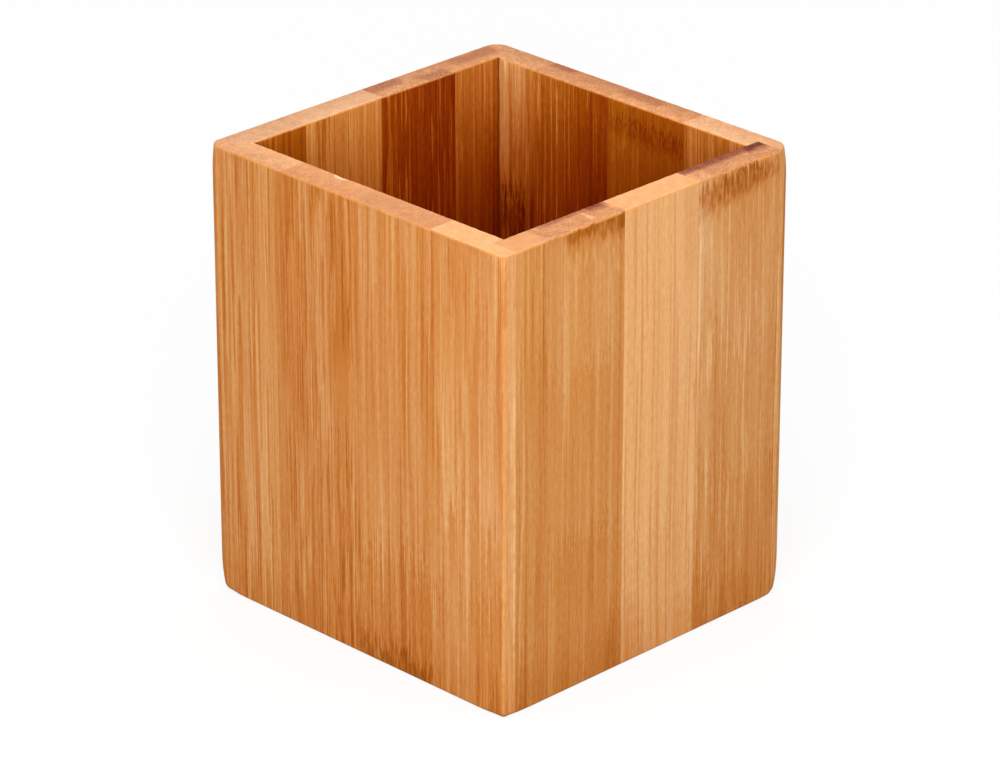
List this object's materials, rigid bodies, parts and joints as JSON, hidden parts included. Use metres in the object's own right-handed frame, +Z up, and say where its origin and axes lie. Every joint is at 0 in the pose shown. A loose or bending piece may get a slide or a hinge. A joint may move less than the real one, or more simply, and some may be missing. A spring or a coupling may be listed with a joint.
{
  "type": "desk pot",
  "caption": "Square open-topped desk pot of edge-glued bamboo strips, with rebated corners and a base let into a groove, that holds pens or utensils upright.",
  "frame": {"origin": "centre of the pot's outline on the surface that it stands on", "axes": "+Z up along the grain of the walls; the front wall, rebated at both ends, faces -Y, and the right wall faces +X"},
  "size_m": [0.08, 0.078, 0.095],
  "materials": {
    "wall_bamboo": "honey-toned laminated bamboo, sanded, with a thin satin oil finish",
    "base_bamboo": "honey-toned laminated bamboo, sanded, with a thin satin oil finish"
  },
  "bodies": {
    "root": {"front_strip_1": "wall_bamboo", "front_strip_2": "wall_bamboo", "front_strip_3": "wall_bamboo", "front_strip_4": "wall_bamboo", "back_strip_1": "wall_bamboo", "back_strip_2": "wall_bamboo", "back_strip_3": "wall_bamboo", "back_strip_4": "wall_bamboo", "left_strip_1": "wall_bamboo", "left_strip_2": "wall_bamboo", "left_strip_3": "wall_bamboo", "left_strip_4": "wall_bamboo", "right_strip_1": "wall_bamboo", "right_strip_2": "wall_bamboo", "right_strip_3": "wall_bamboo", "right_strip_4": "wall_bamboo", "base_strip_1": "base_bamboo", "base_strip_2": "base_bamboo", "base_strip_3": "base_bamboo", "base_strip_4": "base_bamboo"}
  },
  "joints": []
}
